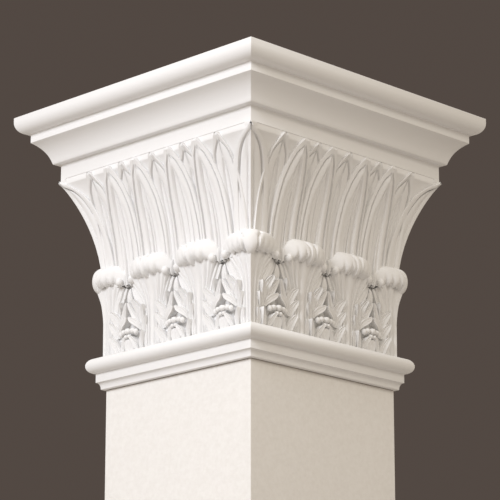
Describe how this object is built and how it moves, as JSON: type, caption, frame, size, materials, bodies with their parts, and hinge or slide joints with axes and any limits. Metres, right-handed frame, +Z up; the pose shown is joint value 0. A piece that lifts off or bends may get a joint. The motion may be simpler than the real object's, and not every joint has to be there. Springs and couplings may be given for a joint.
{
  "type": "square pier capital",
  "caption": "Square cast-stone pier capital with curled leaves below, tall pointed leaves above and a moulded abacus, on a short length of its pier.",
  "frame": {"origin": "middle of the pier top's flat underside, on the vertical axis", "axes": "+Z up along the axis of the pier; the four like faces look along +X, -X, +Y and -Y"},
  "size_m": [0.5078, 0.5078, 0.6324],
  "materials": {
    "capital_stone": null,
    "pier_stone": null
  },
  "bodies": {
    "root": {"capital": "capital_stone", "pier_top": "pier_stone"}
  },
  "joints": []
}
